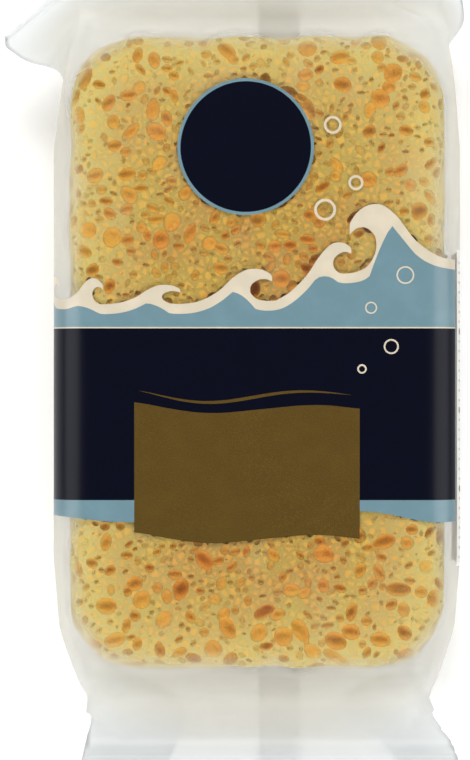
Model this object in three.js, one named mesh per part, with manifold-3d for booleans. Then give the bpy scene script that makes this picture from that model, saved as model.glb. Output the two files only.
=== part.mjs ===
// A block bath sponge sealed in its flow-wrap: one web of thin film wrapped round the sponge, welded
// along the back in a fin that lies flat, and welded across both ends. The pack lies on its back.
// Millimetres. +X is the pack's right, +Y its top end, +Z up, the way the printed front faces.
import * as THREE from "three";
import Module from "manifold-3d";

const { Manifold, Mesh: Solid } = await Module().then((lib) => {
  lib.setup();
  return lib;
});

// The sponge: a foam block, round in plan at its corners and eased along its edges.
const SPONGE_WIDTH = 100;
const SPONGE_LENGTH = 168;
const SPONGE_THICKNESS = 42;
const SPONGE_CORNER = 18;
const SPONGE_EDGE = 6;

// The film. It is drawn a few times thicker than real film so that its wall stays a sound solid.
const FILM = 0.24;
const GAP = 0.4; // free space between the film and the sponge
const SLACK = 4; // free film at each side of the sponge
const BEND = 9; // radius of the film where it turns from the front to a side

// The fin along the back: two layers of film welded together and laid over to the right.
const FIN_WIDTH = 12;
const FIN_DROP = 0.8; // from the back panel over the fin down to the fin
const FIN_LAYERS = 2;
const WELD_TOLERANCE = 0.01; // points this near each other are merged where the fin meets the panel

// Heights of the film's own middle surface, from the table up.
const BACK = FILM / 2;
const SPONGE_BOTTOM = BACK + FIN_DROP + FILM / 2 + GAP;
const FRONT = SPONGE_BOTTOM + SPONGE_THICKNESS + GAP + FILM / 2;
const SEAL = 20; // the end welds stand at half height

const HALF_WIDTH = SPONGE_WIDTH / 2 + SLACK;
const BOTTOM_END = -SPONGE_LENGTH / 2;
const TOP_END = SPONGE_LENGTH / 2;

// How many straight steps draw each stretch of half a section.
const RUN_STEPS = 5;
const BEND_STEPS = 3;
const SIDE_STEPS = 5;

// The wrap's sections from its bottom end to its top end, each left side first.
//   y      how far along the pack the panels are, from the sponge's middle
//   gape   how far the front panel stands above the end weld's height, and the back panel below it
//   bend   the radius where a panel turns into a side
//   half   how far the front panel reaches
//   fold   where the side's spare film goes: -1 tucks all of it in between the panels, 0 leaves the
//          side flat, and 1 stands all of it out as an ear
//   trail  how far the middle of the side lags behind the panels along the pack
const UP = FRONT - SEAL;
const DOWN = SEAL - BACK;
const FLAT = [0, 0];
const SECTIONS = [
  { y: BOTTOM_END - 32, gape: [1, 1], bend: 0.3, half: [49, 57], fold: [-1, -1] },
  { y: BOTTOM_END - 21, gape: [1, 1], bend: 0.3, half: [46.5, 53], fold: [-1, -1] },
  { y: BOTTOM_END - 16, gape: [5, 5], bend: 1, half: [45, 49], fold: [-1, -1] },
  { y: BOTTOM_END - 10, gape: [12, 10], bend: 2, half: [44.5, 45.5], fold: [-1, -1] },
  { y: BOTTOM_END - 5, gape: [18, 15], bend: 4, half: [46.5, 47], fold: [-1, -1] },
  { y: BOTTOM_END - 1, gape: [UP - 1.5, DOWN - 1.5], bend: 5, half: [48, 48.5], fold: [-0.8, -0.8] },
  { y: BOTTOM_END + 4, gape: [UP, DOWN], bend: 6, half: [50, 50], fold: [-0.4, -0.4] },
  { y: BOTTOM_END + 11, gape: [UP, DOWN], bend: 8, half: [52.5, 52.5], fold: FLAT },
  { y: BOTTOM_END + 30, gape: [UP, DOWN], bend: BEND, half: [HALF_WIDTH, HALF_WIDTH], fold: FLAT },
  { y: 0, gape: [UP, DOWN], bend: BEND, half: [HALF_WIDTH, HALF_WIDTH], fold: FLAT },
  { y: TOP_END - 30, gape: [UP, DOWN], bend: BEND, half: [HALF_WIDTH, HALF_WIDTH], fold: FLAT },
  { y: TOP_END - 12, gape: [UP, DOWN], bend: 8, half: [51.5, 52.5], fold: FLAT },
  { y: TOP_END - 6, gape: [UP, DOWN], bend: 7, half: [50, 51.5], fold: [0.4, 0], trail: [2, 0] },
  {
    y: TOP_END - 1,
    gape: [UP - 0.5, DOWN - 0.5],
    bend: 6,
    half: [48.5, 50.5],
    fold: [0.75, 0.1],
    trail: [6, 1],
  },
  {
    y: TOP_END + 3,
    gape: [UP - 5, DOWN - 5],
    bend: 4,
    half: [47.5, 50],
    fold: [0.85, 0.25],
    trail: [9, 2],
  },
  { y: TOP_END + 6, gape: [13, 11], bend: 3, half: [47.5, 50], fold: [0.85, 0.3], trail: [10, 3] },
  { y: TOP_END + 9, gape: [6, 6], bend: 1, half: [47.5, 50], fold: [0.85, 0.3], trail: [11, 4] },
  { y: TOP_END + 12, gape: [1, 1], bend: 0.3, half: [47.5, 50], fold: [0.85, 0.3], trail: [13.5, 5] },
  { y: TOP_END + 20, gape: [1, 1], bend: 0.3, half: [47.5, 50], fold: [0.85, 0.25], trail: [19, 6] },
];

// Half a section: the film's middle line from the middle of the front panel, round one side, to the
// middle of the back panel. Each point holds its distance from the pack's middle, its height and how
// far round towards the middle of the side it is, from 0 on a panel to 1.
function halfLine({ gape, bend, half, side }) {
  const front = SEAL + gape[0];
  const back = SEAL - gape[1];
  const middle = (front + back) / 2;
  const drop = (front - back) / 2 - bend;
  const quarter = [];
  for (let i = 0; i < RUN_STEPS; i++) quarter.push([((half - bend) * i) / RUN_STEPS, front - middle, 0]);
  for (let i = 0; i <= BEND_STEPS; i++) {
    const turn = ((Math.PI / 2) * i) / BEND_STEPS;
    quarter.push([half - bend + bend * Math.sin(turn), drop + bend * Math.cos(turn), 0]);
  }
  // A tuck runs straight to its inner fold. An ear first drops down the side and then turns out, but
  // where the panels meet it runs straight too.
  const pull = side > half ? 0.5 - 0.25 * Math.min(1, drop / 6) : 0.5;
  const curve = new THREE.QuadraticBezierCurve(
    new THREE.Vector2(half, drop),
    new THREE.Vector2(half + (side - half) * pull, drop * pull),
    new THREE.Vector2(side, 0),
  );
  for (let i = 1; i <= SIDE_STEPS; i++) {
    const { x, y } = curve.getPoint(i / SIDE_STEPS);
    quarter.push([x, y, i / SIDE_STEPS]);
  }
  const upper = quarter.map(([across, rise, round]) => [across, middle + rise, round]);
  const lower = quarter.map(([across, rise, round]) => [across, middle - rise, round]);
  return [...upper, ...lower.reverse().slice(1)];
}

function lengthOf(line) {
  let sum = 0;
  for (let i = 1; i < line.length; i++) {
    sum += Math.hypot(line[i][0] - line[i - 1][0], line[i][1] - line[i - 1][1]);
  }
  return sum;
}

// The film doesn't stretch, so half a section is as long everywhere as at the middle of the pack.
const HALF_GIRTH = lengthOf(
  halfLine({ gape: [UP, DOWN], bend: BEND, half: HALF_WIDTH, side: HALF_WIDTH }),
);

// How far the middle of a side stands beyond its panels, if the side takes up all the spare film.
function spareReach(section, half, way) {
  let near = 0;
  let far = HALF_GIRTH / 2;
  for (let i = 0; i < 40; i++) {
    const reach = (near + far) / 2;
    if (lengthOf(halfLine({ ...section, half, side: half + way * reach })) < HALF_GIRTH) near = reach;
    else far = reach;
  }
  return near;
}

function fittedLine(section, hand) {
  const half = section.half[hand];
  const fold = section.fold[hand];
  const side = half + fold * spareReach(section, half, Math.sign(fold));
  return halfLine({ ...section, half, side });
}

// How far the back panel lifts over the fin, so that panel and fin lie level on the table.
function liftOverFin(section, x) {
  const lift = THREE.MathUtils.mapLinear(section.gape[1], 1, DOWN, 0, FIN_DROP);
  return lift * (1 - THREE.MathUtils.smoothstep(Math.abs(x - FIN_WIDTH / 2), FIN_WIDTH * 0.6, FIN_WIDTH));
}

// A whole section's middle line: from the middle of the front panel to the right, under and back up.
function wholeLine(section) {
  const left = fittedLine(section, 0);
  const right = fittedLine(section, 1);
  const [leftTrail, rightTrail] = section.trail ?? FLAT;
  const placed = (line, side, trail) =>
    line.map(([across, height, round]) => [side * across, section.y - round * trail, height]);
  const whole = [...placed(right, 1, rightTrail), ...placed(left, -1, leftTrail).slice(1, -1).reverse()];
  return whole.map(([x, y, z]) => {
    const onBack = z < SEAL - section.gape[1] + 0.01;
    return new THREE.Vector3(x, y, onBack ? z + liftOverFin(section, x) : z);
  });
}

// One side of the film: the middle lines moved outward within their sections. The move is longer at a
// sharp fold, to keep it sharp, and where the film slopes along the pack, to keep its thickness.
function skin(lines, distance) {
  return lines.map((line, k) =>
    line.map((point, i) => {
      const before = point.clone().sub(line.at(i - 1)).setY(0).normalize();
      const after = line[(i + 1) % line.length].clone().sub(point).setY(0).normalize();
      const around = before.clone().add(after).normalize();
      const outward = new THREE.Vector3(-around.z, 0, around.x);
      const ahead = lines[Math.min(k + 1, lines.length - 1)][i].clone().sub(lines[Math.max(k - 1, 0)][i]);
      const upright = Math.abs(around.clone().cross(ahead).normalize().dot(outward));
      const fold = Math.sqrt((1 + before.dot(after)) / 2);
      const reach = distance / Math.max(0.5, fold) / Math.max(0.5, upright);
      const { x, y, z } = point.clone().addScaledVector(outward, reach);
      return [x, y, z];
    }),
  );
}

// Joins rings of points into one closed body. Its two end rings are capped, or else joined together.
function bodyOf(rings, capped) {
  const size = rings[0].length;
  const corners = rings.flat(2);
  const faces = [];
  const bands = capped ? rings.length - 1 : rings.length;
  for (let k = 0; k < bands; k++) {
    const next = (k + 1) % rings.length;
    for (let i = 0; i < size; i++) {
      const j = (i + 1) % size;
      const [a, b, c, d] = [k * size + i, k * size + j, next * size + j, next * size + i];
      faces.push(a, b, c, a, c, d);
    }
  }
  if (capped) {
    const last = (rings.length - 1) * size;
    for (let i = 0; i < size / 2 - 1; i++) {
      const [a, b, c, d] = [i, i + 1, size - 2 - i, size - 1 - i];
      faces.push(a, d, c, a, c, b);
      faces.push(last + a, last + b, last + c, last + a, last + c, last + d);
    }
  }
  return new Solid({
    numProp: 3,
    vertProperties: Float32Array.from(corners),
    triVerts: Uint32Array.from(faces),
  });
}

function tube() {
  const lines = SECTIONS.map(wholeLine);
  return new Manifold(bodyOf([...skin(lines, FILM / 2), ...skin(lines, -FILM / 2).reverse()], false));
}

// The fin hangs from the middle of the back panel, turns and lies flat under it to the right.
function fin() {
  const thick = FIN_LAYERS * FILM;
  const rings = SECTIONS.map((section) => {
    const panel = SEAL - section.gape[1] + liftOverFin(section, 0);
    const flat = panel - FIN_DROP - FILM / 2;
    const top = [[0, panel], [0, flat + thick + 0.1], [0.2, flat + thick], [FIN_WIDTH, flat + thick]];
    const under = [[FIN_WIDTH, flat], [0, flat], [-thick, flat + 0.1], [-thick, panel]];
    return [...top, ...under].map(([x, z]) => [x, section.y, z]);
  });
  return new Manifold(bodyOf(rings, true));
}

function nodeOf(name, solid, material) {
  const { vertProperties, triVerts } = solid.getMesh();
  const geometry = new THREE.BufferGeometry();
  geometry.setAttribute("position", new THREE.BufferAttribute(vertProperties, 3));
  geometry.setIndex(new THREE.BufferAttribute(triVerts, 1));
  const mesh = new THREE.Mesh(geometry, material);
  mesh.name = name;
  return mesh;
}

function sponge() {
  const x = SPONGE_WIDTH / 2 - SPONGE_EDGE;
  const y = SPONGE_LENGTH / 2 - SPONGE_EDGE;
  const r = SPONGE_CORNER - SPONGE_EDGE;
  const outline = new THREE.Shape();
  outline.moveTo(x, -y + r);
  outline.absarc(x - r, y - r, r, 0, Math.PI / 2);
  outline.absarc(-x + r, y - r, r, Math.PI / 2, Math.PI);
  outline.absarc(-x + r, -y + r, r, Math.PI, (3 * Math.PI) / 2);
  outline.absarc(x - r, -y + r, r, (3 * Math.PI) / 2, 2 * Math.PI);
  const geometry = new THREE.ExtrudeGeometry(outline, {
    depth: SPONGE_THICKNESS - 2 * SPONGE_EDGE,
    bevelThickness: SPONGE_EDGE,
    bevelSize: SPONGE_EDGE,
    bevelSegments: 5,
    curveSegments: 8,
  });
  const foam = new THREE.MeshStandardMaterial({ color: 0xd9b968, roughness: 0.95, metalness: 0 });
  const mesh = new THREE.Mesh(geometry, foam);
  mesh.name = "sponge";
  mesh.position.z = SPONGE_BOTTOM + SPONGE_EDGE;
  return mesh;
}

const clearFilm = new THREE.MeshStandardMaterial({ color: 0xe9e8e2, roughness: 0.35, metalness: 0 });
const pack = new THREE.Group();
pack.add(sponge());
pack.add(nodeOf("wrapper", tube().add(fin()).simplify(WELD_TOLERANCE), clearFilm));

// The pack's own box stands on the table, centred over the origin.
const box = new THREE.Box3().setFromObject(pack);
const middle = box.getCenter(new THREE.Vector3());
pack.position.set(-middle.x, -middle.y, -box.min.z);
export default pack;
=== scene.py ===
# %% [markdown]
# # A bath sponge sealed in its flow-wrap
# The real thing is two pieces. One is a block of open foam with large rounded pores. The other is one
# web of frosted film, wrapped round the block, welded along the back in a fin and across both ends,
# and printed before it was wrapped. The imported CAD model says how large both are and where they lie,
# so this script starts from it and gives each of the two its looks.

# %% Load the fixed frame
import math

import bmesh
import bpy
import numpy as np
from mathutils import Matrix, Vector
from mathutils.bvhtree import BVHTree
from mathutils.geometry import delaunay_2d_cdt
from mathutils.kdtree import KDTree


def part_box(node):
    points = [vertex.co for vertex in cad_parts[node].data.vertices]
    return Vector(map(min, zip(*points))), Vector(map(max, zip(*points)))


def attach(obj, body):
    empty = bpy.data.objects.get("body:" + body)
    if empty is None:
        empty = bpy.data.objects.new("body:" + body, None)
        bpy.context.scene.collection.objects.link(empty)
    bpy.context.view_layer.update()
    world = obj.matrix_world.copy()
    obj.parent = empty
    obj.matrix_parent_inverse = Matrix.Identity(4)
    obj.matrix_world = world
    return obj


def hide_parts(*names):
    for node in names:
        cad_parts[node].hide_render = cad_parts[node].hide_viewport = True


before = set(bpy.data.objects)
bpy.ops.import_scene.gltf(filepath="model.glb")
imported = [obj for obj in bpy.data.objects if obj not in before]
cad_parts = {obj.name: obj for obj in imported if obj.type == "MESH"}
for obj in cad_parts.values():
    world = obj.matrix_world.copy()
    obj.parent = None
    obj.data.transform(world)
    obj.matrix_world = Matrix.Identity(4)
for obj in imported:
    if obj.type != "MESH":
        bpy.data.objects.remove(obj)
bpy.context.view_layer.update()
MM = 0.001
scene = bpy.context.scene

foam_low, foam_high = (np.array(corner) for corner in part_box("sponge"))
foam_middle = (foam_low + foam_high) / 2
wrap_low, wrap_high = (np.array(corner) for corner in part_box("wrapper"))
print("foam block, mm", np.round((foam_high - foam_low) / MM, 1))
print("wrapped pack, mm", np.round((wrap_high - wrap_low) / MM, 1))

# %% [markdown]
# ## Writing materials as sums
# A material is a graph of nodes. Linking nodes by hand hides the sum that they work out, so a small
# class wraps one output socket and lets ordinary Python operators add the Math nodes. A second, tiny
# class keeps one material's node tree and adds any other node in one call.


# %% A socket that does arithmetic
class Value:
    def __init__(self, tree, socket):
        self.tree, self.socket = tree, socket

    def _math(self, operation, *others, clamp=False):
        node = self.tree.nodes.new("ShaderNodeMath")
        node.operation, node.use_clamp = operation, clamp
        for slot, other in zip(node.inputs, (self, *others)):
            if isinstance(other, Value):
                self.tree.links.new(other.socket, slot)
            else:
                slot.default_value = other
        return Value(self.tree, node.outputs[0])

    def __add__(self, other):
        return self._math("ADD", other)

    def __radd__(self, other):
        return self._math("ADD", other)

    def __sub__(self, other):
        return self._math("SUBTRACT", other)

    def __rsub__(self, other):
        return self._math("MULTIPLY", -1.0)._math("ADD", other)

    def __mul__(self, other):
        return self._math("MULTIPLY", other)

    def __rmul__(self, other):
        return self._math("MULTIPLY", other)

    def clamped(self):
        return self._math("ADD", 0.0, clamp=True)


# %% A material and its nodes
class Finish:
    def __init__(self, name):
        self.material = bpy.data.materials.new(name)
        self.material.use_nodes = True
        self.tree = self.material.node_tree
        self.tree.nodes.clear()

    def node(self, kind, settings=None, output=0, **sockets):
        """Adds one node: settings first, then its sockets, each named as Blender names it."""
        made = self.tree.nodes.new("ShaderNode" + kind)
        for name, setting in (settings or {}).items():
            setattr(made, name, setting)
        for name, given in sockets.items():
            words = name.replace("_", " ")
            socket = next(s for s in made.inputs if s.enabled and s.name.lower() == words.lower())
            self.feed(socket, given)
        return Value(self.tree, made.outputs[output])

    def feed(self, socket, given):
        if isinstance(given, Value):
            self.tree.links.new(given.socket, socket)
        else:
            socket.default_value = given

    def mix(self, share, first, second):
        """A colour, or with shaders a shader: the first where share is 0, the second where it is 1."""
        if first_is_shader(first):
            made = self.tree.nodes.new("ShaderNodeMixShader")
            sockets = made.inputs
        else:
            made = self.tree.nodes.new("ShaderNodeMix")
            made.data_type = "RGBA"
            sockets = [made.inputs["Factor"], *[s for s in made.inputs if s.type == "RGBA"]]
        for socket, given in zip(sockets, (share, first, second)):
            self.feed(socket, given)
        shown = [s for s in made.outputs if s.enabled]
        return Value(self.tree, shown[0])

    def between(self, value, low, high):
        """0 below low, 1 above high and a smooth turn in between."""
        return self.node("MapRange", {"interpolation_type": "SMOOTHSTEP"},
                         Value=value, From_Min=low, From_Max=high)

    def surface(self, shader):
        out = self.tree.nodes.new("ShaderNodeOutputMaterial")
        self.tree.links.new(shader.socket, out.inputs["Surface"])
        return self.material


def first_is_shader(given):
    return isinstance(given, Value) and given.socket.type == "SHADER"


def shade(red, green, blue):
    """A colour given as the usual 0 to 255 screen values, turned to Blender's linear ones."""
    channels = [channel / 255 for channel in (red, green, blue)]
    linear = [c / 12.92 if c <= 0.04045 else ((c + 0.055) / 1.055) ** 2.4 for c in channels]
    return (*linear, 1.0)

# %% [markdown]
# ## The stage
# The pack lies on a plain white table and the camera looks straight down on it from about arm's
# length, so both long sides stay upright in the view. The ends of the film run out of the view at the
# top and the bottom. A soft box stands low on each of the four sides: the flat front sends their
# gloss away from the camera, and only the rounded edges of the film catch it. The boxes beyond the
# ends are the stronger ones, because the film slopes down to its welds there. Colours are shown
# without a film-like tone curve, so white stays white.

# %% Table, camera and lights
IMAGE = (470, 760)
VIEW_HEIGHT = 200 * MM
VIEW_OFFSET = (-5.8 * MM, -7.4 * MM)
CAMERA_HEIGHT = 900 * MM
SENSOR = 36.0

scene.view_settings.view_transform = "Standard"


def place(made, location, toward):
    made.location = location
    made.rotation_euler = (Vector(toward) - Vector(location)).to_track_quat("-Z", "Y").to_euler()
    scene.collection.objects.link(made)
    return made


lens = bpy.data.cameras.new("view")
lens.sensor_fit = "VERTICAL"
lens.sensor_height = SENSOR
lens.lens = SENSOR * (CAMERA_HEIGHT - foam_high[2]) / VIEW_HEIGHT
lens.clip_start = 10 * MM
eye = foam_middle[:2] + VIEW_OFFSET
camera = bpy.data.objects.new("camera", lens)
camera.location = (*eye, CAMERA_HEIGHT)
scene.collection.objects.link(camera)
scene.camera = camera


def soft_box(name, location, size, power):
    lamp = bpy.data.lights.new(name, "AREA")
    lamp.shape, lamp.size, lamp.size_y = "RECTANGLE", *size
    lamp.energy = power
    place(bpy.data.objects.new(name, lamp), location, (0, 0, 0.02))


soft_box("left_box", (-0.78, 0.05, 0.62), (0.45, 0.9), 5.4)
soft_box("right_box", (0.78, -0.05, 0.62), (0.45, 0.9), 5.0)
soft_box("top_box", (0.0, 0.85, 0.75), (0.9, 0.4), 10.2)
soft_box("bottom_box", (0.0, -0.95, 0.7), (0.9, 0.4), 11.4)

world = bpy.data.worlds.new("studio")
world.use_nodes = True
world.node_tree.nodes["Background"].inputs["Color"].default_value = (1.0, 1.0, 1.0, 1.0)
world.node_tree.nodes["Background"].inputs["Strength"].default_value = 0.1
scene.world = world

bpy.ops.mesh.primitive_plane_add(size=6)
table = bpy.context.object
table.name = "table"
table_finish = Finish("white_table")
white = table_finish.node("BsdfPrincipled", Base_Color=(0.93, 0.93, 0.93, 1.0), Roughness=0.9)
table.data.materials.append(table_finish.surface(white))
print("camera looks down from", CAMERA_HEIGHT / MM, "mm")

# %% [markdown]
# ## The foam block
# A bath sponge like this is cut from a slab of foam, so its faces slice through bubbles: each pore is
# the open half of a rounded hollow with a crisp rim, and where two hollows met they run together. A
# bump map can't open a pore at the block's outline, so the hollows are really cut out. The block starts
# from the CAD solid, remeshed evenly and made a little uneven. Then squashed balls of three sizes are
# scattered over it, and cut away in a few boolean steps. Balls that touch go into different steps,
# because each step's balls have to be clear of each other.

# %% The uncut block
BLOCK_VOXEL = 2.4 * MM
UNEVEN = 0.35 * MM
random = np.random.default_rng(12)


def new_object(name, mesh):
    made = bpy.data.objects.new(name, mesh)
    scene.collection.objects.link(made)
    return made


def apply_modifier(obj, kind, **settings):
    modifier = obj.modifiers.new(kind.lower(), kind)
    for name, setting in settings.items():
        setattr(modifier, name, setting)
    bpy.context.view_layer.objects.active = obj
    bpy.ops.object.modifier_apply(modifier=modifier.name)


def points_of(mesh):
    flat = np.empty(len(mesh.vertices) * 3)
    mesh.vertices.foreach_get("co", flat)
    return flat.reshape(-1, 3)


def put_points(mesh, points):
    mesh.vertices.foreach_set("co", np.ravel(points))
    mesh.update()


def ripple(points, scale, waves=9, seed=3):
    """Smooth noise from -1 to 1 at each point: a few sine waves that run every way."""
    draw = np.random.default_rng(seed)
    way = draw.normal(size=(waves, 3))
    way *= draw.uniform(0.6, 1.4, (waves, 1)) / np.linalg.norm(way, axis=1, keepdims=True)
    phase = draw.uniform(0, 2 * np.pi, waves)
    return np.sin(points @ way.T * (2 * np.pi / scale) + phase).mean(axis=1) * 2


foam = new_object("foam_block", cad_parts["sponge"].data.copy())
foam.data.materials.clear()
apply_modifier(foam, "REMESH", mode="VOXEL", voxel_size=BLOCK_VOXEL)
block_points = points_of(foam.data)
inward = (foam_middle - block_points) / ((foam_high - foam_low) / 2)
inward = np.clip(inward, -1, 1) ** 3
put_points(foam.data, block_points + inward * (ripple(block_points, 14 * MM)[:, None] + 1) * UNEVEN)
block_tree = BVHTree.FromObject(foam, bpy.context.evaluated_depsgraph_get())
print("uncut block:", len(foam.data.polygons), "faces")


# %% Where the pores go
# Each size: how many, smallest and largest radius, how near two may stand and how deep they sit, the
# last two in shares of their radii.
PORES = {
    "large": (1350, 1.25 * MM, 2.7 * MM, 0.82, 0.0),
    "middling": (2600, 0.75 * MM, 1.25 * MM, 0.85, -0.1),
    "small": (1500, 0.45 * MM, 0.75 * MM, 1.0, -0.35),
}


def scatter():
    """Drops pores on the block, large ones first, and keeps those with room round them."""
    mesh = foam.data
    mesh.calc_loop_triangles()
    corners = points_of(mesh)[[t.vertices[:] for t in mesh.loop_triangles]]
    crosses = np.cross(corners[:, 1] - corners[:, 0], corners[:, 2] - corners[:, 0])
    areas = np.linalg.norm(crosses, axis=1)
    spots, outward, radii, kinds = [], [], [], []
    for kind, (count, least, most, room, _) in PORES.items():
        drops = count * 12
        faces = random.choice(len(areas), drops, p=areas / areas.sum())
        u, v = random.random((2, drops, 1))
        fold = u + v > 1
        u, v = np.where(fold, 1 - u, u), np.where(fold, 1 - v, v)
        a, b, c = corners[faces].transpose(1, 0, 2)
        where = a + u * (b - a) + v * (c - a)
        sizes = least + (most - least) * random.random(drops) ** 1.6
        kept = 0
        for spot, size, face in zip(where, sizes, faces):
            if spots:
                apart = np.linalg.norm(np.array(spots) - spot, axis=1)
                if (apart < room * (np.array(radii) + size)).any():
                    continue
            spots.append(spot)
            outward.append(crosses[face] / areas[face])
            radii.append(size)
            kinds.append(kind)
            kept += 1
            if kept == count:
                break
    return np.array(spots), np.array(outward), np.array(radii), kinds


spots, outward, radii, kinds = scatter()
print("pores:", {kind: kinds.count(kind) for kind in PORES})


# %% One hollow
def ball(subdivisions):
    made = bmesh.new()
    bmesh.ops.create_icosphere(made, subdivisions=subdivisions, radius=1)
    corners = np.array([v.co for v in made.verts])
    faces = np.array([[v.index for v in f.verts] for f in made.faces])
    made.free()
    return corners, faces


FRONT_BALLS = {"large": ball(3), "middling": ball(2), "small": ball(2)}
OTHER_BALLS = {"large": ball(2), "middling": ball(2), "small": ball(1)}


def hollow(spot, normal, radius, kind):
    """The corners and faces of one squashed, lumpy ball, sunk a little into the block."""
    corners, faces = (FRONT_BALLS if normal[2] > 0.9 else OTHER_BALLS)[kind]
    spin = random.uniform(0, np.pi)
    side = np.cross(normal, (0.31, 0.62, 0.72))
    side /= np.linalg.norm(side)
    other = np.cross(normal, side)
    long, across = np.cos(spin) * side + np.sin(spin) * other, np.cos(spin) * other - np.sin(spin) * side
    stretch = random.uniform(1.0, 1.35)
    lumpy = 1 + 0.13 * ripple(corners + random.uniform(-9, 9, 3), 2.6, seed=5)[:, None]
    shape = corners * lumpy * (stretch, 1 / stretch, random.uniform(0.75, 1.15))
    axes = np.stack([long, across, normal])
    sunk = spot - normal * radius * (PORES[kind][-1] + random.uniform(-0.15, 0.15))
    return sunk + shape @ axes * radius, faces


# %% Cutting the hollows out
def in_clear_groups(reach=1.5):
    """Shares the pores out so that no two in a group can touch."""
    groups = []
    for i in range(len(spots)):
        for group in groups:
            apart = np.linalg.norm(spots[group] - spots[i], axis=1)
            if (apart > reach * (radii[group] + radii[i])).all():
                group.append(i)
                break
        else:
            groups.append([i])
    return groups


def cut(group):
    all_corners, all_faces, start = [], [], 0
    for i in group:
        corners, faces = hollow(spots[i], outward[i], radii[i], kinds[i])
        all_corners.append(corners)
        all_faces.append(faces + start)
        start += len(corners)
    mesh = bpy.data.meshes.new("hollows")
    mesh.from_pydata(np.concatenate(all_corners), [], np.concatenate(all_faces).tolist())
    tool = new_object("hollows", mesh)
    apply_modifier(foam, "BOOLEAN", object=tool, operation="DIFFERENCE", solver="MANIFOLD")
    bpy.data.objects.remove(tool)


groups = in_clear_groups()
for group in groups:
    cut(group)
foam.data.calc_loop_triangles()
print("cut block:", len(groups), "cuts,", len(foam.data.loop_triangles), "triangles")

# %% Thinning the mesh
FOAM_TRIANGLES = 190_000
SHARP_RIM = 42

apply_modifier(foam, "DECIMATE", ratio=min(1.0, FOAM_TRIANGLES / len(foam.data.loop_triangles)))
foam.data.shade_smooth()
foam.data.set_sharp_from_angle(angle=math.radians(SHARP_RIM))
foam.data.calc_loop_triangles()
print("foam:", len(foam.data.loop_triangles), "triangles")

# %% [markdown]
# ## Foam as a material
# Foam has one colour all through, but a pore looks deeper in colour than the walls round it, because
# light bounces between its sides and picks up more colour each time. That bounce light is painted into
# the colour: it turns from pale straw at the surface to a warm orange a millimetre or two down. How deep
# each point lies is measured here once, against the uncut block, and kept on the mesh. Near its sides
# the block is also lit from there, right through the foam, and that light is painted in too: the colour
# is paler towards its edges, and that share is kept on the mesh. The walls themselves are full of
# bubbles too small to cut, so those come from a cell pattern in the colour and the bump.

# %% How deep each point of the foam lies
# How far in from the block's sides the painted side light reaches.
LIT_RIM = 11 * MM


def keep_on_mesh(mesh, name, values):
    mesh.attributes.new(name, "FLOAT", "POINT").data.foreach_set("value", np.asarray(values, "f"))


cut_block = points_of(foam.data)
# How deep each point lies below the uncut block, which sets the painted bounce light in the pores.
depth = np.array([block_tree.find_nearest(Vector(p))[3] for p in cut_block])
keep_on_mesh(foam.data, "depth", depth)
# Painted side light: a share that is 0 at the block's sides and 1 well inside, kept on the mesh.
to_side = (foam_high - foam_low)[:2] / 2 - np.abs(cut_block - foam_middle)[:, :2]
keep_on_mesh(foam.data, "from_side", np.prod(1 - np.exp(-np.clip(to_side, 0, None) / LIT_RIM), axis=1))
print("deepest pore, mm:", round(depth.max() / MM, 2))


# %% The foam's finish
def foam_finish():
    f = Finish("foam")
    where = f.node("NewGeometry", output=0)
    sunk = f.node("Attribute", {"attribute_name": "depth"}, output=2)
    cells = f.node("TexVoronoi", {"feature": "DISTANCE_TO_EDGE"}, Vector=where, Scale=480.0)
    tiny = f.node("TexNoise", Vector=where, Scale=2600.0, Detail=3.0)
    patches = f.node("TexNoise", Vector=where, Scale=85.0, Detail=2.0)
    warm = f.between(patches, 0.38, 0.62)
    # Painted side light: towards the block's sides the walls and pits are painted paler.
    inner = f.node("Attribute", {"attribute_name": "from_side"}, output=2)
    wall = f.mix(inner, shade(202, 190, 120), f.mix(warm, shade(153, 131, 54), shade(150, 121, 52)))
    # The pit colour is painted bounce light: brighter and more orange than the walls.
    pit = f.mix(inner, shade(212, 170, 74), f.mix(warm, shade(216, 161, 55), shade(214, 144, 50)))
    cell_wall = f.between(cells, 0.05, 0.3)
    speckle = (cell_wall * 0.7 + f.between(tiny, 0.42, 0.62) * 0.3) * (1 - f.between(sunk, 0.0, 0.6 * MM))
    # Painted bounce light by depth, plus the cell pattern of tiny bubbles in the same colour.
    cells_and_painted_bounce = (f.between(sunk, 0.05 * MM, 1.3 * MM) + speckle * 0.7).clamped()
    colour = f.mix(cells_and_painted_bounce, wall, pit)
    height = f.between(cells, 0.0, 0.3) * -1.0 + tiny * 0.6
    bump = f.node("Bump", Strength=0.55, Distance=0.35 * MM, Height=height)
    return f.surface(f.node("BsdfPrincipled", Base_Color=colour, Roughness=0.92, Normal=bump))


foam.data.materials.clear()
foam.data.materials.append(foam_finish())
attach(foam, "root")
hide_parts("sponge")

# %% [markdown]
# ## The film's shape
# Film bends but doesn't stretch, so its shape follows from one rule: the way round the pack is equally
# long everywhere. Where the pack narrows past the end of the foam, the film left over at each side has
# to go somewhere. Either it tucks in between the front and back panels, or it stands out as an ear.
# The CAD wrapper is built on that rule, and these are the same sections with finer steps: heights of
# the two panels, the radius of the turn into the sides, how far the front reaches, and how the sides
# fold. They are blended along the pack, and then each is resampled evenly by length.

# %% The wrap's own sizes
SLACK = 4 * MM
TURN = 9 * MM
SEAL = 20 * MM
FIN_WIDTH = 12 * MM
FIN_UNDER = 0.3 * MM
STATION = 0.5 * MM

front_panel = wrap_high[2] - 0.1 * MM
back_panel = wrap_low[2] + 0.1 * MM
up, down = front_panel - SEAL, SEAL - back_panel
half_width = (foam_high[0] - foam_low[0]) / 2 + SLACK
end = (foam_high[1] - foam_low[1]) / 2
full = [half_width / MM] * 2

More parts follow.
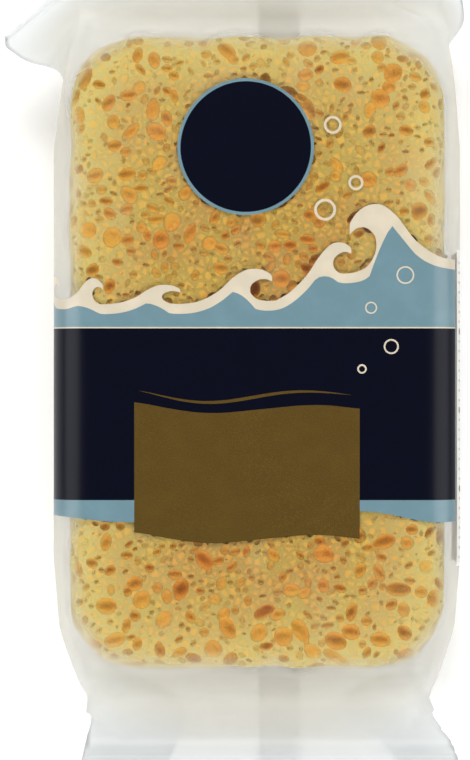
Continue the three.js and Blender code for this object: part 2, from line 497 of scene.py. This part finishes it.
# From the bottom end to the top end, in millimetres: place along the pack, front panel above and back
# panel below the end weld, radius of the turn, reach of the front to the left and right, fold at the
# left and right (-1 tucked in, 0 flat, 1 an ear), and how far the two sides lag behind the panels.
a, u, d = end / MM, up / MM, down / MM
SECTIONS = np.array([
    [-a - 32, 0.5, 0.5, 0.2, 49, 57, -1, -1, 0, 0],
    [-a - 21, 0.5, 0.5, 0.2, 46.5, 53, -1, -1, 0, 0],
    [-a - 16, 5, 5, 1, 45, 49, -1, -1, 0, 0],
    [-a - 10, 12, 10, 2, 44.5, 45.5, -1, -1, 0, 0],
    [-a - 5, 18, 15, 4, 46.5, 47, -1, -1, 0, 0],
    [-a - 1, u - 1.5, d - 1.5, 5, 48, 48.5, -0.8, -0.8, 0, 0],
    [-a + 4, u, d, 6, 50, 50, -0.4, -0.4, 0, 0],
    [-a + 11, u, d, 8, 52.5, 52.5, 0, 0, 0, 0],
    [-a + 30, u, d, 9, *full, 0, 0, 0, 0],
    [a - 30, u, d, 9, *full, 0, 0, 0, 0],
    [a - 12, u, d, 8, 51.5, 52.5, 0, 0, 0, 0],
    [a - 6, u, d, 7, 50, 51.5, 0.4, 0, 2, 0],
    [a - 1, u - 0.5, d - 0.5, 6, 48.5, 50.5, 0.75, 0.1, 6, 1],
    [a + 3, u - 5, d - 5, 4, 47.5, 50, 0.85, 0.25, 9, 2],
    [a + 6, 13, 11, 3, 47.5, 50, 0.85, 0.3, 10, 3],
    [a + 9, 6, 6, 1, 47.5, 50, 0.85, 0.3, 11, 4],
    [a + 12, 0.5, 0.5, 0.2, 47.5, 50, 0.85, 0.3, 13.5, 5],
    [a + 20, 0.5, 0.5, 0.2, 47.5, 50, 0.85, 0.25, 19, 6],
])


# %% Blending the sections along the pack
def softened(values, reach):
    """Each column averaged over its neighbours, so that a corner in it becomes a turn."""
    steps = np.arange(-3 * reach, 3 * reach + 1)
    weights = np.exp(-((steps / reach) ** 2) / 2)
    padded = np.pad(values, ((len(steps) // 2,) * 2, (0, 0)), "edge")
    return np.stack([np.convolve(c, weights / weights.sum(), "valid") for c in padded.T], axis=1)


along = np.arange(SECTIONS[0, 0], SECTIONS[-1, 0] + 0.01, STATION / MM)
blended = np.stack([np.interp(along, SECTIONS[:, 0], column) for column in SECTIONS.T], axis=1)
blended[:, 1:] = softened(blended[:, 1:], 3)
place_y = blended[:, 0] * MM
above, below, turn = blended[:, 1:4].T * MM
print("film stations:", len(along))


# %% Half a section, from the middle of the front round one side to the middle of the back
RUN, BEND, SIDE = 24, 12, 16


def half_lines(reach, side):
    """Points for every station at once: distance from the middle, height and nearness to the fold."""
    middle = SEAL + (above - below) / 2
    rise = (above + below) / 2
    drop = rise - turn
    t = np.linspace(0, 1, RUN, endpoint=False)
    across = [np.outer(reach - turn, t)]
    height = [np.outer(rise, np.ones(RUN))]
    angle = np.linspace(0, np.pi / 2, BEND)
    across.append((reach - turn)[:, None] + np.outer(turn, np.sin(angle)))
    height.append(drop[:, None] + np.outer(turn, np.cos(angle)))
    t = np.linspace(0, 1, SIDE + 1)[1:]
    pull = np.where(side > reach, 0.5 - 0.25 * np.clip(drop / (6 * MM), 0, 1), 0.5)[:, None]
    first, second, third = (1 - t) ** 2, 2 * t * (1 - t), t ** 2
    across.append(np.outer(reach, first) + (reach[:, None] + (side - reach)[:, None] * pull) * second
                  + np.outer(side, third))
    height.append(np.outer(drop, first) + drop[:, None] * pull * second)
    across, height = np.concatenate(across, axis=1), np.concatenate(height, axis=1)
    fold = np.concatenate([np.zeros(RUN + BEND), t])
    across = np.concatenate([across, across[:, -2::-1]], axis=1)
    height = np.concatenate([height, -height[:, -2::-1]], axis=1)
    fold = np.concatenate([fold, fold[-2::-1]])
    return across, middle[:, None] + height, np.broadcast_to(fold, across.shape)


def lengths(across, height):
    steps = np.hypot(np.diff(across, axis=1), np.diff(height, axis=1))
    return np.concatenate([np.zeros((len(steps), 1)), np.cumsum(steps, axis=1)], axis=1)


straight = np.full(len(along), half_width)
middle_station = len(along) // 2
half_girth = lengths(*half_lines(straight, straight)[:2])[middle_station, -1]
print("half the way round, mm:", round(half_girth / MM, 2))


def fitted(reach, fold):
    """The half sections whose sides take up the share of the spare film that fold says."""
    near, far = np.zeros(len(reach)), np.full(len(reach), half_girth / 2)
    way = np.sign(fold)
    for _ in range(30):
        spare = (near + far) / 2
        short = lengths(*half_lines(reach, reach + way * spare)[:2])[:, -1] < half_girth
        near, far = np.where(short, spare, near), np.where(short, far, spare)
    return half_lines(reach, reach + fold * near)


# %% The wrap as a grid: rows along the pack, columns evenly spaced round it
COLUMNS = 181


def even_rows(across, height, fold, lag, hand):
    """Half the wrap resampled to even steps round the pack, as points in pack coordinates."""
    rows = []
    for x, z, near_fold, far, y in zip(across, height, fold, lengths(across, height), place_y):
        steps = np.linspace(0, far[-1], COLUMNS)
        rows.append(np.stack([hand * np.interp(steps, far, x),
                              np.full(COLUMNS, y), np.interp(steps, far, z),
                              np.interp(steps, far, near_fold)], axis=1))
    rows = np.array(rows)
    rows[:, :, 1] -= rows[:, :, 3] * lag[:, None]
    return rows[:, :, :3]


left_reach, right_reach, left_fold, right_fold, left_lag, right_lag = (blended[:, 4:].T
    * np.array([MM, MM, 1, 1, MM, MM])[:, None])
left = even_rows(*fitted(left_reach, left_fold), left_lag, -1)
right = even_rows(*fitted(right_reach, right_fold), right_lag, 1)
wrap = np.concatenate([left[:, ::-1], right[:, 1:]], axis=1)
round_it = np.linspace(-half_girth, half_girth, wrap.shape[1])
print("wrap grid:", wrap.shape)

# %% [markdown]
# ## Creases
# Where film is gathered it breaks into sharp little folds that fan out from the gathered point: here
# from the pinch at each side of the bottom end, and from the corners of the foam at the top. Each
# crease is a straight line on the flat film with a height and a width, and it lifts the film like a
# tent pole.

# %% Creases and slack
# Start and end on the flat film (round the pack, along the pack), height and width, in millimetres.
CREASES = [
    (-45, -94, -24, -88, 1.3, 2.4),
    (-44, -94, -30, -108, 1.8, 1.5),
    (-46, -93, -40, -78, -0.8, 2.0),
    (45, -94, 27, -88, 1.2, 2.6),
    (46, -94, 34, -108, 1.9, 1.6),
    (31, -100, 14, -104, 1.6, 2.8),
    (46, -93, 42, -78, -0.8, 2.0),
    (-10, -97, 40, -100, 0.8, 1.8),
    (-46, 84, -30, 90, 0.7, 1.8),
    (-46, 86, -38, 98, 0.8, 1.5),
    (48, 86, 34, 91, 0.6, 1.8),
    (48, 88, 40, 99, 0.8, 1.5),
]


def crease_height(s, v):
    """How far the creases lift the film at each place on it, in metres."""
    total = np.zeros_like(s)
    for *ends, tall, wide in CREASES:
        start, finish = np.array(ends[:2]) * MM, np.array(ends[2:]) * MM
        way = finish - start
        share = ((s - start[0]) * way[0] + (v - start[1]) * way[1]) / (way @ way)
        near_s, near_v = (start[i] + np.clip(share, 0, 1) * way[i] for i in (0, 1))
        off = np.hypot(s - near_s, v - near_v)
        fade = np.clip(1 - share, 0, 1) ** 0.7
        total += tall * MM * fade * np.exp(-((off / (wide * MM)) ** 2))
    return total


grid_s, grid_v = np.meshgrid(round_it, place_y)
normals = np.cross(np.gradient(wrap, axis=1), np.gradient(wrap, axis=0))
normals /= np.linalg.norm(normals, axis=2, keepdims=True) + 1e-12
loose = np.clip((np.abs(grid_v) - end + 4 * MM) / (6 * MM), 0, 1)
slack_waves = ripple(np.stack([grid_s, grid_v * 0.5, 0 * grid_s], axis=-1).reshape(-1, 3), 22 * MM, seed=8)
wavy = slack_waves.reshape(grid_s.shape) * (0.06 + 0.3 * loose) * MM
sealed = np.clip(np.minimum(above, below) / (6 * MM), 0.12, 1)[:, None]
wrap += normals * ((crease_height(grid_s, grid_v) + wavy) * sealed)[:, :, None]


# %% From a place on the flat film to its place in the pack
CRIMP_PITCH = 1.6 * MM
CRIMP_HEIGHT = 0.14 * MM
bottom_weld, top_weld = (SECTIONS[1, 0] - 3) * MM, (SECTIONS[-2, 0] + 3) * MM


def turned_in(t, low, high):
    t = np.clip((t - low) / (high - low), 0, 1)
    return t * t * (3 - 2 * t)


def wrapped(s, v):
    """Takes places on the flat film, from one cut edge of the fin to the other, to points in the pack."""
    row = np.clip((v - place_y[0]) / (place_y[1] - place_y[0]), 0, len(place_y) - 1.001)
    column = np.clip((s + half_girth) / (round_it[1] - round_it[0]), 0, len(round_it) - 1.001)
    r, c = row.astype(int), column.astype(int)
    fr, fc = (row - r)[:, None], (column - c)[:, None]
    point = ((wrap[r, c] * (1 - fc) + wrap[r, c + 1] * fc) * (1 - fr)
             + (wrap[r + 1, c] * (1 - fc) + wrap[r + 1, c + 1] * fc) * fr)
    on_fin = np.clip(np.abs(s) - half_girth, 0, None)
    to_back = turned_in(np.abs(s), half_girth - 22 * MM, half_girth - 18 * MM)
    over_fin = 1 - turned_in(np.abs(point[:, 0] + on_fin - FIN_WIDTH / 2), 0.6 * FIN_WIDTH, FIN_WIDTH)
    opened = np.clip((np.interp(v, place_y, below) - MM) / (down - MM), 0, 1)
    point[:, 2] += 0.55 * MM * to_back * over_fin * opened
    layer = np.where(s > 0, 0.5, 1.0) * FIN_UNDER
    point[:, 0] += on_fin
    point[:, 2] -= layer * turned_in(on_fin, 0, 0.5 * MM)
    welded = turned_in(-v, -bottom_weld, -bottom_weld + MM) + turned_in(v, top_weld, top_weld + MM)
    point[:, 2] += CRIMP_HEIGHT * welded * np.cos(2 * np.pi * v / CRIMP_PITCH)
    return point + (foam_middle[0], foam_middle[1], 0)


# %% [markdown]
# ## The print
# The film is printed while it is still a flat roll, so the print is drawn flat too, as outlines on the
# film's own measure: how far round the pack and how far along it. The outlines are then cut into the
# film's mesh with a constrained triangulation, and each ink gets its own material. An image would go
# soft when seen close. Cut-in ink stays as crisp as real print. The motif is a plain one for anything
# to do with bathing: a row of curling waves, some bubbles, and bare panels.

# %% Drawing helpers
def through(points, steps=5):
    """A smooth line through the points, by Catmull and Rom's rule."""
    p = np.array([points[0], *points, points[-1]], float)
    t = np.linspace(0, 1, steps, endpoint=False)[:, None]
    pieces = []
    for a, b, c, d in zip(p, p[1:], p[2:], p[3:]):
        square, cube = 2 * a - 5 * b + 4 * c - d, 3 * b - a - 3 * c + d
        pieces.append(0.5 * (2 * b + (c - a) * t + square * t ** 2 + cube * t ** 3))
    return np.concatenate([*pieces, p[-1:]])


def dense(points, step=1.4):
    """A closed outline, anticlockwise, with no side longer than step, so that it can bend with the film."""
    p = np.asarray(points, float)
    x, y = p.T
    if (x * np.roll(y, -1) - y * np.roll(x, -1)).sum() < 0:
        p = p[::-1]
    sides = []
    for start, finish in zip(p, np.roll(p, -1, axis=0)):
        count = max(1, int(np.ceil(np.hypot(*(finish - start)) / step)))
        sides.append(start + (finish - start) * (np.arange(count) / count)[:, None])
    return np.concatenate(sides)


def disc(x, y, radius, corners=None):
    angle = np.linspace(0, 2 * np.pi, corners or max(20, int(radius * 7)), endpoint=False)
    return np.stack([x + radius * np.cos(angle), y + radius * np.sin(angle)], axis=1)


def band(xs, top, bottom):
    """An outline between two lines over the same places."""
    return dense(np.concatenate([np.stack([xs, top], axis=1), np.stack([xs, bottom], axis=1)[::-1]]))


# %% The waves
PRINT_LEFT, PRINT_RIGHT = -70.0, 53.6
NAVY_TOP, NAVY_BOTTOM = 6.2, -39.0
FOAM_DEPTH = 2.6

# One wave from trough to trough, as shares of its width and height: up the back, over the crest to the
# tip, and round the hollow under it.
BACK_OF_WAVE = [(0, 0), (0.2, 0.08), (0.42, 0.36), (0.6, 0.78), (0.76, 1.0), (0.92, 0.98), (1.03, 0.8),
                (1.04, 0.6)]
HOLLOW_OF_WAVE = [(1.04, 0.6), (0.97, 0.68), (0.88, 0.66), (0.8, 0.5), (0.8, 0.26), (0.88, 0.06),
                  (1.0, 0.0)]
SEA_LEVEL = ([-70, -41, -14, 5, 20, 40, 60], [16, 12.5, 12.6, 13.5, 20, 23, 25])

# Where each wave starts, how wide and tall it is, and which way it curls.
WAVES = [(-68, 14, 5.5, 1), (-52, 11, 6.5, 1), (-40, 19, 5.0, 1), (-20, 23, 8.5, 1), (5, 19, 8.5, 1),
         (25.5, 28, 17, -1)]


def sea_level(x):
    return np.interp(x, *SEA_LEVEL)


def wave_line(waves):
    """The line along the tops of the waves, from left to right."""
    line = []
    for start, width, tall, way in waves:
        unit = np.concatenate([through(BACK_OF_WAVE), through(HOLLOW_OF_WAVE)[1:]])
        if way < 0:
            unit = unit[::-1] * (-1, 1) + (1, 0)
        x = start + unit[:, 0] * width
        line.append(np.stack([x, sea_level(x) + unit[:, 1] * tall], axis=1))
    return np.concatenate(line)


def under(line, level):
    """The outline between a line across the print and a level below it."""
    line = line[(line[:, 0] > PRINT_LEFT) & (line[:, 0] < PRINT_RIGHT)]
    left_end = [(PRINT_LEFT, level), (PRINT_LEFT, line[0, 1])]
    right_end = [(PRINT_RIGHT, line[-1, 1]), (PRINT_RIGHT, level)]
    return dense(np.concatenate([left_end, line, right_end]))


across_print = np.arange(PRINT_LEFT, PRINT_RIGHT + 0.1, 1.2)
tops = wave_line(WAVES)
surf = under(tops, NAVY_TOP)
near_tops = [tops[np.abs(tops[:, 0] - x) < 1.5, 1] for x in across_print]
foot = np.array([line.min() if len(line) else sea_level(x) for x, line in zip(across_print, near_tops)])
foot = np.convolve(np.pad(foot, 2, "edge"), np.ones(5) / 5, "valid")
sea = band(across_print, foot - FOAM_DEPTH, across_print * 0 + NAVY_TOP)
navy = band(across_print, across_print * 0 + NAVY_TOP, across_print * 0 + NAVY_BOTTOM)
hairline = band(across_print, across_print * 0 + NAVY_TOP + 0.35, across_print * 0 + NAVY_TOP)
SHORE = [(-76, -43), (-53, -43.3), (-34, -44.8), (-4, -43.5), (27, -41.9), (46, -44.8), (60, -44)]
shore = through(SHORE, 20)
shallows = band(across_print, across_print * 0 + NAVY_BOTTOM, np.interp(across_print, *shore.T))

# %% The gold panel and its line, the disc and the bubbles
GOLD_LEFT, GOLD_RIGHT = -32.3, 27.0
across_gold = np.linspace(GOLD_LEFT, GOLD_RIGHT, 50)
GOLD_TOP = ([GOLD_LEFT, -22, -12, 1, 14, 22, GOLD_RIGHT], [-13, -15.2, -16.4, -15.1, -13.8, -14.2, -15.2])
gold_wave = np.interp(across_gold, *GOLD_TOP)
gold_wave = np.convolve(np.pad(gold_wave, 4, "edge"), np.ones(9) / 9, "valid")
gold = band(across_gold, gold_wave, gold_wave - 34.2)
swash_x = np.linspace(GOLD_LEFT + 1.2, GOLD_RIGHT - 2.2, 60)
swash_middle = -11.6 + 1.9 * np.cos((swash_x - 14) * 2 * np.pi / 52) * np.linspace(1.1, 0.5, 60)
swash_thick = 0.42 * np.sin(np.linspace(0.02, np.pi - 0.02, 60)) ** 0.8
swash = band(swash_x, swash_middle + swash_thick, swash_middle - swash_thick)
ROUNDEL = (-3.0, 54.0, 18.0)
BUBBLES = [(20, 59.7, 2.35, 0.5), (26, 44.5, 2.0, 0.5), (17.9, 37.4, 2.9, 0.55), (39, 20.2, 2.35, 0.3),
           (30, 11.6, 1.6, 0.28), (35.3, 1.4, 2.0, 0.34), (27.6, -4.5, 1.25, 0.34)]

# %% The side and the back: bare panels, with plain rules and gold dots
SIDE_PANEL = (54.6, 87.5, 27.0, -56.6)
BACK_PANEL = (90.0, 134.0, 27.0, -40.0)


def panel(left, right, top, bottom):
    """A bare panel's outline, the rules on it and the dots in front of some of them."""
    frame_line = dense([(left, top), (left, bottom), (right, bottom), (right, top)])
    rules, dots = [], []
    for i, y in enumerate(np.arange(top - 3, bottom + 2, -2.6)):
        if i % 8 == 7:
            dots.append(disc(left + 2.2, y - 0.35, 0.9, 12))
        else:
            finish = right - 2.5 - (i * 7) % 11
            corners = [(left + 1.2, y), (left + 1.2, y - 0.7), (finish, y - 0.7), (finish, y)]
            rules.append(dense(corners, 3.5))
    return frame_line, rules, dots


panels = [panel(*SIDE_PANEL), panel(*BACK_PANEL)]

# Every printed shape from the lowest ink up: ink, outline, and the hole in it if it is a ring.
PRINTED = [("paper_white", outline, None) for outline, _, _ in panels]
PRINTED += [("foam_white", surf, None), ("sea_blue", sea, None),
            ("navy", navy, None), ("sea_blue", shallows, None), ("foam_white", hairline, None),
            ("gold", gold, None), ("gold", swash, None),
            ("sea_blue", disc(*ROUNDEL), None),
            ("navy", disc(ROUNDEL[0], ROUNDEL[1], ROUNDEL[2] - 0.8), None)]
PRINTED += [("foam_white", disc(x, y, r), disc(x, y, r - wide * 1.3)) for x, y, r, wide in BUBBLES]
PRINTED += [("grey_rule", rule, None) for _, rules, _ in panels for rule in rules]
PRINTED += [("gold", dot, None) for _, _, dots in panels for dot in dots]
print("printed shapes:", len(PRINTED))

# %% Cutting the print into the flat film
FILM_STEP = 1.7
CRIMP_STEP = 0.4
ZIGZAG = 0.4
CLEAR_OF_LINES = 0.5
INKS = ["clear", "paper_white", "foam_white", "sea_blue", "navy", "gold", "grey_rule"]

web_half = (half_girth + FIN_WIDTH) / MM
low_v, high_v = place_y[0] / MM, place_y[-1] / MM
teeth = np.arange(-web_half, web_half, 1.0)
jag = ZIGZAG * (np.arange(len(teeth)) % 2)
web = dense(np.concatenate([np.stack([teeth, low_v + 0.05 + jag], axis=1),
                            np.stack([teeth, high_v - 0.05 - jag], axis=1)[::-1]]), FILM_STEP)

rows_v = np.concatenate([np.arange(low_v + 1.6, bottom_weld / MM + 1, CRIMP_STEP),
                         np.arange(bottom_weld / MM + 1.5, top_weld / MM - 1, FILM_STEP),
                         np.arange(top_weld / MM - 0.5, high_v - 1.6, CRIMP_STEP)])
columns_s = np.linspace(-web_half + 0.8, web_half - 0.8, int(2 * web_half / FILM_STEP))
grid = np.stack(np.meshgrid(columns_s, rows_v), axis=-1).reshape(-1, 2)

outlines = [web] + [line for _, outer, inner in PRINTED for line in (outer, inner) if line is not None]
drawn = np.concatenate(outlines)
near = KDTree(len(drawn))
for i, (x, y) in enumerate(drawn):
    near.insert((x, y, 0), i)
near.balance()
clear_of_lines = np.array([near.find((x, y, 0))[2] > CLEAR_OF_LINES for x, y in grid])
flat = np.concatenate([drawn, grid[clear_of_lines]])
starts = np.cumsum([0] + [len(line) for line in outlines])
loops = [list(range(a, b)) for a, b in zip(starts, starts[1:])]
cut_points, _, cut_faces, _, _, inside = delaunay_2d_cdt([Vector(p) for p in flat], [], loops, 1, 1e-4)
cut_points = np.array(cut_points)
print("flat film:", len(cut_points), "points,", len(cut_faces), "triangles")

# %% Which ink each triangle carries
# The web's own outline is loop 0. Each shape has the next loop, and a ring one more for its hole.
shapes, loop = [], 1
for ink_name, outer, inner in PRINTED:
    shapes.append((INKS.index(ink_name), loop, loop + 1 if inner is not None else None))
    loop += 1 if inner is None else 2


def ink_at(loops_here):
    """The topmost ink over a triangle that lies inside these loops; 0 is clear film."""
    here = set(loops_here)
    found = 0
    for number, outer, inner in shapes:
        if outer in here and inner not in here:
            found = number
    return found


triangle_inks = [ink_at(loops_here) for loops_here in inside]

# %% The wrapped film
flat_s, flat_v = cut_points.T * MM
film_points = wrapped(flat_s, flat_v)
mesh = bpy.data.meshes.new("film_wrap")
mesh.from_pydata(film_points, [], [list(face) for face in cut_faces])
film = new_object("film_wrap", mesh)
mesh.polygons.foreach_set("material_index", triangle_inks)
mesh.shade_smooth()
lift = np.array([block_tree.find_nearest(Vector(p))[3] for p in film_points])
keep_on_mesh(mesh, "lift", lift)
over_front = (
    (film_points[:, 2] > foam_high[2])
    & (np.abs(film_points[:, 0] - foam_middle[0]) < 40 * MM)
    & (np.abs(flat_v) < 70 * MM)
)
print("film stands off the front by, mm:", np.round(np.percentile(lift[over_front], (5, 50, 95)) / MM, 2))
print("film area, cm2:", round(sum(p.area for p in mesh.polygons) * 1e4, 1),
      "flat:", round(4 * web_half * (high_v - low_v) / 2 / 100, 1))

# %% [markdown]
# ## Film and inks as materials
# Frosted film scatters light in its surface. Pressed against the foam it scatters almost nothing away
# from what is right behind it, so the pores show crisp. Where it stands off, the same scattering turns
# the foam to haze. So the share of milk in the film grows with its distance from the foam, which was
# measured for each point above. Part of the milk sends light back and part lets it through, which is
# what makes frosted film glow over a bright table. The inks are opaque and satin, and each is a touch
# uneven. The gold one has fine bright flakes in it.

# %% Film and inks
THIN_INK = 1.35


def clear_film():
    f = Finish("clear_film")
    lifted = f.node("Attribute", {"attribute_name": "lift"}, output=2)
    sheen = f.node("BsdfPrincipled", Base_Color=shade(229, 231, 231), Roughness=0.38)
    glow = f.node("BsdfTranslucent", Color=shade(236, 238, 239))
    through_it = f.node("BsdfTransparent", Color=(0.92, 0.92, 0.91, 1.0))
    milky = f.between(lifted, 0.8 * MM, 2.9 * MM) * 0.44 + f.between(lifted, 5 * MM, 11 * MM) * 0.36 + 0.02
    return f.surface(f.mix(milky, through_it, f.mix(0.55, sheen, glow)))


def ink(name, colour, flakes=None, roughness=0.34, gloss=0.5):
    """Opaque satin ink, a touch thinner in places. A metallic ink also has fine bright flakes in it."""
    f = Finish(name)
    where = f.node("NewGeometry", output=0)
    cover = f.node("TexNoise", Vector=where, Scale=160.0, Detail=3.0)
    thinner = (*(THIN_INK * channel for channel in colour[:3]), 1.0)
    shown = f.mix(f.between(cover, 0.4, 0.72) * 0.3, colour, thinner)
    grain = f.node("TexNoise", Vector=where, Scale=4500.0, Detail=1.0)
    if flakes:
        shown = f.mix(f.between(grain, 0.5, 0.7) * 0.3, shown, flakes)
    matt = grain * 0.12 + (roughness - 0.06)
    return f.surface(f.node("BsdfPrincipled", Base_Color=shown, Roughness=matt, Specular_IOR_Level=gloss))


finishes = {
    "clear": clear_film(),
    "paper_white": ink("paper_white_ink", shade(200, 199, 192)),
    "foam_white": ink("foam_white_ink", shade(184, 174, 154)),
    "sea_blue": ink("sea_blue_ink", shade(92, 120, 129)),
    "navy": ink("navy_ink", shade(1, 3, 18), gloss=0.15),
    "gold": ink("gold_ink", shade(70, 52, 9), flakes=shade(118, 94, 40), roughness=0.38, gloss=0.3),
    "grey_rule": ink("grey_ink", shade(150, 150, 150)),
}
for name in INKS:
    film.data.materials.append(finishes[name])
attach(film, "root")
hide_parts("wrapper")
(high_v - low_v) * MM
